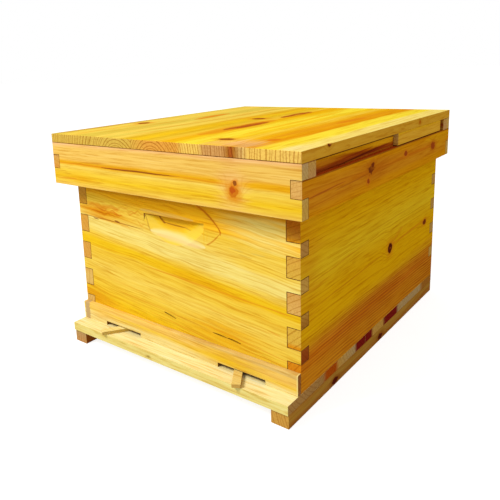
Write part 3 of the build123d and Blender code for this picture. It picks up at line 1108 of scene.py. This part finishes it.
frontRailLook = {
    "lay": "front",
    "slope": 0.004,
    "waver": 2.5,
    "bands": {272: "peach", 279: "honey", 286: "gold", 296: "honey", 302: "straw", 306.5: "amber",
              310.5: "amber", 316: "peach", 332: "peach", 340: "blush"},
    "stir": 3.0,
    "pith": (230.0, 120.0),
    "ringGap": 5.5,
    "ringDepth": 0.4,
    "ends": {272: "endTan", 338.4: "endGrey", 339.6: "resin", 341: "resin"},
    "knots": [knot((128, 297), 8.0, tone="heart", halo=0.85),
              knot((127, 299), 5.0, stretch=0.9, tone="knotRed", halo=0.3, haloTone="russet"),
              knot((131, 308), 3.6, tone="resin", halo=0.7, haloTone="russet")],
    "patches": [patch((126, 304), (30, 44), "blush", share=0.45),
                patch((130, 289), (14, 5), "orange", share=0.6),
                patch((-170, 284), (50, 9), "amber", share=0.8)],
    "streaks": [
        streak((-232, 308), (-60, 309), 1.8, "russet", share=0.75, sway=1.2),
        streak((-120, 308), (40, 307.5), 2.0, "knot", share=0.9, sway=1.2),
        streak((20, 308), (128, 306), 2.2, "orange", share=0.65, sway=1.0),
        streak((-230, 282), (-180, 284), 2.6, "orange", share=0.7, sway=0.6),
        streak((118, 287), (148, 286), 1.8, "orange", share=0.35, sway=0.6),
    ],
    "seed": 15.0,
}
backRailLook = {
    "lay": "front",
    "slope": -0.01,
    "waver": 3.0,
    "bands": {272: "gold", 290: "honey", 310: "amber", 325: "honey", 340: "straw"},
    "pith": (200.0, -700.0),
    "ringGap": 6.0,
    "ends": {272: "endTan", 340: "endTan"},
    "knots": [knot((-60, 300), 6.0)],
    "seed": 260.0,
}
for name, node, look in (("coverFrontRail", "cover_front_rail", frontRailLook),
                         ("coverBackRail", "cover_back_rail", backRailLook)):
    finishPiece(endRail(name, node), [node], "cover", firMaterial(name + "Fir", look))

battenLow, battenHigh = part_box("cover_battens")
sliders = {"right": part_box("right_vent_slider"), "left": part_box("left_vent_slider")}
slider = {"clearance": 0.3 * mm, "edge": 0.4 * mm, "batten": 18.5 * mm}
ventFront = sliders["right"][0].y - slider["clearance"]
ventBack = battenHigh.y - slider["batten"]


# Grooves that a vent slider runs in, cut in the rail's top or the panel's underside
def carveGroove(piece, side, low, high):
    sliderLow, sliderHigh = sliders[side]
    carveBlock(piece, (sliderLow.x - slider["clearance"], ventFront, low),
               (sliderHigh.x + slider["clearance"], ventBack, high))


def sideRail(name, node, side):
    low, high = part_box(node)
    low.y += cover["rail"]
    high.y -= cover["rail"]
    piece = plank(name, low, high)
    growFingers(piece, 1, railFinger, cover["rail"])
    carveGroove(piece, side, railTop - cover["grooveDepth"], railTop + over)
    softenEdges(piece, cover["sideEdge"], atCoverJoint)
    return piece


# Painted shade: a dark line along the top of the rail's outer face, under the panel and the vent, and a dark
# red on the rail's top where it shows in the vent
ventLedgeShade = [rim((317.8, 318.7), (331, 330), "resin", share=0.8),
             rim((319.85, 319.95), (331, 330), "ledgeShadeRed", share=0.95)]
rightRailLook = {
    "lay": "side",
    "shadeBands": ventLedgeShade,
    "slope": -0.006,
    "waver": 3.0,
    "bands": {272: "copper", 279: "copper", 286: "orange", 293: "orange", 299: "russet", 305: "orange",
              311: "copper", 322: "copper"},
    "stir": 4.0,
    "pith": (180.0, 260.0),
    "ringGap": 5.5,
    "ringDepth": 0.9,
    "lateStart": 0.7,
    "ends": {272: "endTan", 296: "endTan", 300: "endPale", 320: "endPale"},
    "knots": [
        knot((171, 302), 7.0, stretch=1.6, halo=0.8, haloTone="heart"),
        knot((176, 307), 4.0, stretch=1.4, halo=0.5, haloTone="heart"),
        knot((161, 286), 4.4, stretch=1.1, tone="redHeart", halo=0.8, haloTone="russet"),
        knot((437, 299), 7.0, stretch=1.7, tone="redHeart", halo=0.8, haloTone="heart"),
        knot((304, 304), 4.5, stretch=1.4, tone="redHeart", halo=0.7, haloTone="russet"),
    ],
    "streaks": [
        streak((155, 282), (172, 302), 2.6, "redHeart", share=0.75, sway=0.2),
        streak((176, 302), (236, 309), 3.0, "heart", share=0.7, sway=0.2),
        streak((-20, 296), (90, 299), 1.6, "redHeart", share=0.7, sway=0.8),
        streak((-22, 284), (110, 288), 1.4, "heart", share=0.7, sway=0.8),
        streak((-20, 306), (160, 302), 2.0, "heart", share=0.65, sway=0.8),
        streak((60, 292), (165, 297), 2.0, "redHeart", share=0.5, sway=0.8),
        streak((180, 304), (300, 308), 3.5, "heart", share=0.5, sway=0.8),
        streak((180, 297), (430, 299), 2.0, "heart", share=0.55, sway=0.8),
    ],
    "patches": [patch((30, 308), (190, 18), "orange", share=0.8),
                patch((195, 299), (70, 22), "sliderRed", share=0.55),
                patch((475, 305), (90, 20), "amber", share=0.6),
                patch((20, 284), (120, 14), "orange", share=0.6),
                patch((250, 304), (120, 10), "orange", share=0.7)],
    "gloss": 0.0,
    "seed": 33.0,
}
leftRailLook = {
    "lay": "side",
    "shadeBands": ventLedgeShade,
    "slope": 0.01,
    "waver": 3.0,
    "bands": {272: "honey", 285: "gold", 300: "amber", 310: "gold", 322: "peach"},
    "pith": (200.0, -260.0),
    "ringGap": 6.0,
    "ends": {272: "endTan", 298: "endCopper", 320: "endPink"},
    "knots": [knot((230, 296), 5.5)],
    "seed": 180.0,
}
for name, node, side, look in (("coverRightRail", "cover_right_rail", "right", rightRailLook),
                               ("coverLeftRail", "cover_left_rail", "left", leftRailLook)):
    finishPiece(sideRail(name, node, side), [node], "cover", firMaterial(name + "Fir", look))

# Cover panel, glued up from strips and planed flush
panel = {"strips": 5}
chip = {"place": 44.5 * mm, "size": (4.2 * mm, 8.0 * mm, 4.2 * mm), "turn": (0.3, 0.4, 0.2)}
panelWidth = (panelHigh.x - panelLow.x) / mm
panelLook = {
    "lay": "top",
    "slope": 0.012,
    "bands": {-240: "moss", -225: "sage", -190: "straw", -165: "sage", -140: "sage", -122: "straw",
              -104: "sage", -84: "straw", -64: "dullGold", -44: "gold", -22: "dullGold", -5: "honey",
              10: "amber", 28: "gold", 45: "sunny", 72: "sunny", 88: "gold", 102: "honey", 120: "amber",
              140: "amber", 160: "copper", 171: "sunny", 194: "sunny", 206: "paleSap", 230: "paleSap"},
    "stir": 12.0,
    "strips": {"first": (panelLow.x - boxMiddle) / mm, "width": panelWidth / panel["strips"],
               "hearts": [-70, -84, -13, -150, 420]},
    "pith": (0.0, -322.0),
    "ringGap": 4.8,
    "ringDepth": 0.6,
    "ends": {-240: "endOlive", -60: "endOlive", -20: "endRose", 36: "endRose", 46: "peach", 72: "peach",
             82: "endPink", 112: "endPink", 120: "endBrown", 126: "redHeart", 131: "endBrown",
             142: "endPale", 152: "peach", 230: "peach"},
    "endShare": 0.95,
    "edgeTone": ("panelEdge", 0.9),
    "endRings": 1.35,
    "knots": [knot((44, 226), 2.8, level=353.5, stretch=1.7, halo=0.5, haloTone="heart"),
              knot((281, -34), 14.0, stretch=0.9, tone="resin", halo=0.8, ragged=0.8),
              knot((152, -199), 11.0, stretch=1.2, tone="resin", halo=0.6, haloTone="russet", ragged=0.8),
              knot((30, 80), 13.0, stretch=0.7, tone="resin", halo=0.7, ragged=0.8),
              knot((48, 144), 9.0, stretch=1.2, tone="russet", halo=0.7, ragged=0.7),
              knot((365, 226), 3.2, level=348, stretch=1.6, tone="russet", halo=0.6)],
    "streaks": [
        streak((60, 132), (520, 134), 24.0, "orange", share=0.6, sway=0.8),
        streak((50, 14), (270, 6), 32.0, "orange", share=0.9, sway=0.4, fray=1.6),
        streak((115, 12), (240, 12), 20.0, "redHeart", share=0.95, sway=0.4, fray=2.4),
        streak((310, -5), (428, -8), 18.0, "redHeart", share=0.95, sway=0.4, fray=2.4),
        streak((232, -146), (360, -160), 16.0, "russet", share=0.9, sway=0.4, fray=2.0),
        streak((250, 134), (350, 138), 16.0, "russet", share=0.7, sway=0.4, fray=2.0),
        streak((80, 72), (440, 50), 10.0, "amber", share=0.7, sway=0.8),
        streak((20, -160), (300, -165), 4.0, "orange", share=0.6, sway=0.6),
        streak((40, -110), (360, -104), 6.0, "orange", share=0.6, sway=0.8),
        streak((200, -70), (500, -60), 9.0, "orange", share=0.6, sway=0.8),
        streak((300, -110), (480, -118), 7.0, "orange", share=0.6, sway=0.8),
        streak((-10, -190), (150, -196), 4.0, "orange", share=0.5, sway=0.6),
        streak((-20, -230), (260, -234), 14.0, "endBrown", share=0.7, sway=0.2),
    ],
    "patches": [patch((4, 118), (50, 60), "blush", share=0.85),
                patch((-6, 138), (34, 34), "endPink", share=0.5),
                patch((-6, 205), (40, 26), "cream", share=0.8),
                patch((390, 24), (120, 50), "oliveGold", share=0.7)],
    "gloss": 0.0,
    "seed": 7.0,
}
coverPanel = plank("coverPanel", panelLow, panelHigh)
for side in sliders:
    carveGroove(coverPanel, side, panelLow.z - over, panelLow.z + cover["grooveDepth"])
softenEdges(coverPanel, cover["panelEdge"], atCoverJoint)
carve(coverPanel, added(bpy.ops.mesh.primitive_ico_sphere_add, subdivisions=2, radius=0.5,
                        rotation=chip["turn"], scale=chip["size"],
                        location=(panelHigh.x, boxFront + chip["place"], panelHigh.z)))
finishPiece(coverPanel, ["cover_top"], "cover", firMaterial("coverPanelFir", panelLook))

# Battens, fixed vent strips and sliders
battenLook = {
    "lay": "front",
    "bands": {318: "honey", 330: "straw", 342: "honey"},
    "ringGap": 4.5,
    "ends": {318: "endPink", 338.4: "endTan", 339.6: "resin", 342: "resin"},
    "endShare": 1.0,
    # Painted shade: a dark red patch near the right end of the battens, where they show through the vent
    # opening
    "patches": [patch((218, 330), (24, 24), "redHeart", share=1.0)],
    "seed": 140.0,
}
battenFir = firMaterial("battenFir", battenLook)
battenFronts = (battenLow.y, ventBack)
coverBattens = plankRow("coverBattens", battenLow, battenHigh, battenFronts, slider["batten"], slider["edge"])
finishPiece(coverBattens, ["cover_battens"], "cover", battenFir)

ventStripLook = {
    "lay": "side",
    "bands": {320: "ventOlive", 334: "ventOlive", 341: "oliveGold"},
    # Painted shadow: a dark line along the foot of the vent strip, where it sits on the rail
    "shadeBands": [rim((318, 319), (322.4, 321.4), "pitch", share=0.9)],
    "stir": 5.0,
    "ringGap": 5.0,
    "ends": {320: "endTan", 341: "endGrey"},
    "gloss": 0.0,
    "seed": 155.0,
}
sliderLook = {
    "lay": "side",
    "bands": {308: "sliderRed", 316: "redHeart", 320: "redHeart", 325: "redHeart", 327.5: "sliderRed",
              329.5: "heart", 331.5: "copper", 340: "amber"},
    "stir": 4.0,
    "slope": 0.01,
    "pith": (290.0, 300.0),
    "ringGap": 5.0,
    "ringDepth": 0.95,
    "lateTone": (0.45, 0.25, 0.15),
    # Painted shadow: the top of the slider, under the panel's edge, darkened almost to black
    "shadeBands": [rim((335.2, 336.2), (350, 349), "pitch", share=0.9)],
    "patches": [patch((45, 328), (60, 6), "orange", share=0.7),
                patch((240, 337.5), (100, 8), "litGold", share=0.9)],
    "streaks": [
        streak((12, 315.5), (256, 327), 3.8, "wine", sway=0.2),
        streak((60, 318), (216, 326.5), 1.9, "pitch", sway=0.2),
        streak((4, 319), (78, 315), 3.4, "pitch", sway=0.2),
        streak((96, 326), (196, 330), 1.6, "wine", share=0.7, sway=0.2),
        streak((84, 319), (300, 321), 3.0, "russet", share=0.6, sway=0.1),
        # Painted highlight: a thin pale line low on the slider
        streak((14, 314.5), (262, 313.5), 0.8, "blush", share=0.6, sway=0.0),
    ],
    "gloss": 0.0,
    "ends": {316: "endBrown", 343: "endBrown"},
    "seed": 168.0,
}
ventStripFir = firMaterial("ventStripFir", ventStripLook)
sliderFir = firMaterial("sliderFir", sliderLook)
for side in ("left", "right"):
    ventStrip = plankOf(side + "VentStrip", side + "_vent_strip")
    softenEdges(ventStrip, slider["edge"])
    finishPiece(ventStrip, [side + "_vent_strip"], "cover", ventStripFir)
    ventSlider = plankOf(side + "VentSlider", side + "_vent_slider")
    softenEdges(ventSlider, slider["edge"])
    finishPiece(ventSlider, [side + "_vent_slider"], side + "_vent", sliderFir)
print("cover done")

# Inner cover: half-lapped rails with a wire mesh let into their top
inner = {"rail": 32 * mm, "wire": 0.5 * mm, "wireGap": 4.0 * mm, "wireMargin": 2 * mm, "edge": 0.6 * mm}
innerLow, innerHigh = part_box("inner_cover_rails")
meshLow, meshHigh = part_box("inner_cover_mesh")
innerLook = {
    "lay": "front",
    "bands": {300: "honey", 310: "straw", 322: "honey"},
    "stir": 30.0,
    "ringGap": 6.0,
    "ends": {300: "endTan", 322: "endTan"},
    "seed": 222.0,
}
innerCrossFir = firMaterial("innerCrossFir", innerLook)
innerSideFir = firMaterial("innerSideFir", {**innerLook, "lay": "side", "seed": 236.0})
lapLevel = (innerLow.z + innerHigh.z) / 2


# One rail: a thin half as long as the frame, the other half drawn down or up between the laps
def innerRail(name, low, high, thinLow, thinHigh, fir):
    thin = plank(name, (*low, thinLow), (*high, thinHigh))
    lengthwise = 0 if high[0] - low[0] > high[1] - low[1] else 1
    takeUp(thin, "EDIT")
    cutAcross(lengthwise, (low[lengthwise] + inner["rail"], high[lengthwise] - inner["rail"]))
    step = Vector((0, 0, innerLow.z - thinLow if thinLow > innerLow.z else innerHigh.z - thinHigh))
    middle = (low[lengthwise] + high[lengthwise]) / 2

    def betweenLaps(place, normal):
        return normal.z * step.z > 0 and abs(place[lengthwise] - middle) < inner["rail"]

    pickFaces(thin, betweenLaps)
    drawOut(thin, step)
    bpy.ops.object.mode_set(mode="OBJECT")
    carveBlock(thin, meshLow, meshHigh + Vector((0, 0, over)))
    softenEdges(thin, inner["edge"])
    thin.data.materials.clear()
    thin.data.materials.append(fir)
    return thin


rails = []
for front in (innerLow.y, innerHigh.y - inner["rail"]):
    low, high = (innerLow.x, front), (innerHigh.x, front + inner["rail"])
    rails.append(innerRail("innerCross", low, high, innerLow.z, lapLevel, innerCrossFir))
for left in (innerLow.x, innerHigh.x - inner["rail"]):
    low, high = (left, innerLow.y), (left + inner["rail"], innerHigh.y)
    rails.append(innerRail("innerSide", low, high, lapLevel, innerHigh.z, innerSideFir))
innerRails = joinPieces("innerCoverRails", rails)
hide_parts("inner_cover_rails")
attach(innerRails, "inner_cover")


# Plain metal with dull patches
metal = {"scale": 180.0, "dull": 0.6, "smoother": 0.12, "rougher": 0.15}


def wireMaterial(name, colour, rough):
    shades = {0.0: [channel * metal["dull"] for channel in colour], 1.0: colour}
    span = (rough - metal["smoother"], rough + metal["rougher"])
    return mottledMaterial(name, metal["scale"], shades, span, {"Metallic": 1.0})


def wireRow(name, start, length, axis, count, step):
    turn = (math.radians(90), 0, 0) if axis == 1 else (0, math.radians(90), 0)
    row = added(bpy.ops.mesh.primitive_cylinder_add, vertices=6, radius=inner["wire"] / 2, depth=length,
                location=start, rotation=turn)
    row.name = name
    array = row.modifiers.new("row", "ARRAY")
    array.count = count
    array.use_relative_offset = False
    array.use_constant_offset = True
    array.constant_offset_displace = step
    bpy.ops.object.modifier_apply(modifier=array.name)
    return row


meshSize = meshHigh - meshLow
meshMiddle = (meshLow + meshHigh) / 2
acrossCount = int((meshSize.x - inner["wireMargin"]) / inner["wireGap"])
alongCount = int((meshSize.y - inner["wireMargin"]) / inner["wireGap"])
firstX = meshMiddle.x - (acrossCount - 1) / 2 * inner["wireGap"]
firstY = meshMiddle.y - (alongCount - 1) / 2 * inner["wireGap"]
lowLayer = meshMiddle.z - inner["wire"] / 2
highLayer = meshMiddle.z + inner["wire"] / 2
longWires = wireRow("longWires", Vector((firstX, meshMiddle.y, lowLayer)), meshSize.y - mm, 1, acrossCount,
                    (inner["wireGap"], 0, 0))
crossWires = wireRow("crossWires", Vector((meshMiddle.x, firstY, highLayer)), meshSize.x - mm, 0, alongCount,
                     (0, inner["wireGap"], 0))
innerMesh = joinPieces("innerCoverMesh", [longWires, crossWires])
meshSteel = wireMaterial("meshSteel", (0.62, 0.63, 0.64), 0.35)
finishPiece(innerMesh, ["inner_cover_mesh"], "inner_cover", meshSteel)
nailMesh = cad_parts["tongue_nails"].data
nailMesh.materials.clear()
nailMesh.materials.append(wireMaterial("nailSteel", (0.50, 0.49, 0.47), 0.45))
print("inner cover done")

# Hanging frames: three kinds of bar, modelled once on the first frame and copied along
bars = {
    "count": 10, "edge": 0.5 * mm, "lug": 18 * mm, "lugHeight": 10 * mm, "fork": 5 * mm, "endBar": 10 * mm,
    "groove": 3 * mm, "grooveDepth": 4 * mm,
}
barLook = {
    "bands": {-200: "straw", -120: "paleSap", -40: "honey", 40: "straw", 120: "paleSap", 200: "honey"},
    "stir": 30.0,
    "ringGap": 4.5,
    "ringDepth": 0.4,
    "ends": {-200: "endTan", 200: "endTan"},
    "endShare": 0.6,
}
topBarFir = firMaterial("topBarFir", {**barLook, "lay": "top", "seed": 401.0})
endBarLook = {
    **barLook,
    "lay": "post",
    "bands": {0: "straw", 250: "paleSap", 500: "honey"},
    "ends": {0: "endTan", 500: "endTan"},
    "seed": 430.0,
}
endBarFir = firMaterial("endBarFir", endBarLook)


def topBar(name, node):
    low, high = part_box(node)
    lug = Vector((0, bars["lug"], 0))
    piece = plank(name, low + lug, high - lug)
    growFingers(piece, 1, [(high.z - bars["lugHeight"], high.z)], bars["lug"])
    for outer, inward in ((low.y + bars["lug"], bars["endBar"]), (high.y - bars["lug"], -bars["endBar"])):
        front, back = min(outer, outer + inward), max(outer, outer + inward)
        for left, right in ((low.x - over, low.x + bars["fork"]), (high.x - bars["fork"], high.x + over)):
            carveBlock(piece, (left, front, low.z - over), (right, back, high.z + over))
    middle = (low.x + high.x) / 2
    half = bars["groove"] / 2
    inset = bars["lug"] + bars["endBar"]
    carveBlock(piece, (middle - half, low.y + inset, low.z - over),
               (middle + half, high.y - inset, low.z + bars["grooveDepth"]))
    softenEdges(piece, bars["edge"])
    return piece


def endBars(name, node, topNode, bottomNode):
    low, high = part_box(node)
    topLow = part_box(topNode)[0]
    bottomLow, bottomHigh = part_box(bottomNode)
    pieces = []
    for front, back in ((low.y, low.y + bars["endBar"]), (high.y - bars["endBar"], high.y)):
        piece = plank("endBar", (low.x, front, low.z), (high.x, back, high.z))
        carveBlock(piece, (low.x + bars["fork"], front - over, topLow.z),
                   (high.x - bars["fork"], back + over, high.z + over))
        carveBlock(piece, (bottomLow.x, front - over, low.z - over),
                   (bottomHigh.x, back + over, bottomHigh.z))
        softenEdges(piece, bars["edge"])
        pieces.append(piece)
    return joinPieces(name, pieces)


def copyAlong(piece, name, shift):
    takeUp(piece)
    bpy.ops.object.duplicate(linked=False)
    twin = bpy.context.object
    twin.name = name
    twin.location = shift
    bpy.ops.object.transform_apply(location=True, rotation=True, scale=True)
    return twin


firstTop = topBar("frame01TopBar", "frame_01_top_bar")
firstEnds = endBars("frame01EndBars", "frame_01_end_bars", "frame_01_top_bar", "frame_01_bottom_bar")
firstBottom = plankOf("frame01BottomBar", "frame_01_bottom_bar")
softenEdges(firstBottom, bars["edge"])
firstFrame = {
    "top_bar": (firstTop, "TopBar", topBarFir),
    "end_bars": (firstEnds, "EndBars", endBarFir),
    "bottom_bar": (firstBottom, "BottomBar", topBarFir),
}
for part, (master, title, fir) in firstFrame.items():
    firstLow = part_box("frame_01_" + part)[0]
    copies = [master]
    for number in range(2, bars["count"] + 1):
        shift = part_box(f"frame_{number:02d}_{part}")[0] - firstLow
        copies.append(copyAlong(master, f"frame{number:02d}{title}", shift))
    for number, piece in enumerate(copies, 1):
        label = f"frame_{number:02d}"
        finishPiece(piece, [f"{label}_{part}"], label, fir)
print("frames done")

# Studio: pale floor, soft key from the front left, even fill
studio = {
    "floorSize": 40.0, "floorGrey": 0.4, "floorRough": 0.9, "floorWhite": 0.82, "floorBounce": 0.27,
    "keyPlace": (-1.5, -2.3, 2.9), "keyAim": (0, -0.1, 0.2), "keySize": 1.2, "keyPower": 138.0,
    "keyColour": (1.0, 0.97, 0.92),
    "fill": 0.70, "fillColour": (1.0, 0.99, 0.97),
    "backdrop": (1.0, 1.0, 1.0),
}
studioFloor = added(bpy.ops.mesh.primitive_plane_add, size=studio["floorSize"], location=(0, 0, 0))
studioFloor.name = "studioFloor"
floorPaint, addPaint = newMaterial("floorPaint")
seen = addPaint("ShaderNodeLightPath").outputs["Is Camera Ray"]
glow = addPaint("ShaderNodeMapRange", {0: seen, 3: studio["floorBounce"], 4: studio["floorWhite"]}).outputs[0]
paint = addPaint("ShaderNodeBsdfPrincipled", {
    "Base Color": (*[studio["floorGrey"]] * 3, 1),
    "Roughness": studio["floorRough"],
    "Specular IOR Level": 0.0,
    "Emission Color": (1, 1, 1, 1),
    "Emission Strength": glow,
})
addPaint("ShaderNodeOutputMaterial", {"Surface": paint.outputs[0]})
studioFloor.data.materials.append(floorPaint)

world = bpy.data.worlds.new("studioWorld")
bpy.context.scene.world = world
world.use_nodes = True
addSky = nodeAdder(world.node_tree)
fillInputs = {"Color": (*studio["fillColour"], 1), "Strength": studio["fill"]}
fill = addSky("ShaderNodeBackground", fillInputs).outputs[0]
backdrop = addSky("ShaderNodeBackground", {"Color": (*studio["backdrop"], 1)}).outputs[0]
seen = addSky("ShaderNodeLightPath").outputs["Is Camera Ray"]
either = addSky("ShaderNodeMixShader", {0: seen, 1: fill, 2: backdrop}).outputs[0]
addSky("ShaderNodeOutputWorld", {"Surface": either})

keyLight = bpy.data.lights.new("keyLight", "AREA")
keyLight.size = studio["keySize"]
keyLight.energy = studio["keyPower"]
keyLight.color = studio["keyColour"]
key = bpy.data.objects.new("keyLight", keyLight)
bpy.context.scene.collection.objects.link(key)
key.location = studio["keyPlace"]
key.rotation_euler = (Vector(studio["keyAim"]) - key.location).to_track_quat("-Z", "Y").to_euler()

# Camera, fitted to the corners of the box and the cover
camera = {
    "place": (538.45, -577.24, 453.56),
    "azimuth": 39.56, "elevation": 12.07, "roll": -2.34,
    "focal": 565.34, "centre": (203.73, 185.72), "frame": 500, "sensor": 36.0,
}
turn, rise, roll = (math.radians(camera[key]) for key in ("azimuth", "elevation", "roll"))
back = Vector((math.sin(turn) * math.cos(rise), -math.cos(turn) * math.cos(rise), math.sin(rise)))
right = Vector((math.cos(turn), math.sin(turn), 0))
up = back.cross(right)
rolledRight = right * math.cos(roll) + up * math.sin(roll)
rolledUp = up * math.cos(roll) - right * math.sin(roll)
lens = bpy.data.cameras.new("photoCamera")
lens.sensor_width = camera["sensor"]
lens.lens = camera["focal"] / camera["frame"] * camera["sensor"]
lens.shift_x = (camera["frame"] / 2 - camera["centre"][0]) / camera["frame"]
lens.shift_y = (camera["centre"][1] - camera["frame"] / 2) / camera["frame"]
photoCamera = bpy.data.objects.new("photoCamera", lens)
bpy.context.scene.collection.objects.link(photoCamera)
turned = Matrix((rolledRight, rolledUp, back)).transposed()
photoCamera.matrix_world = Matrix.Translation(hivePoint(*camera["place"])) @ turned.to_4x4()
bpy.context.scene.camera = photoCamera
bpy.context.scene.view_settings.view_transform = "Standard"
print("studio done")
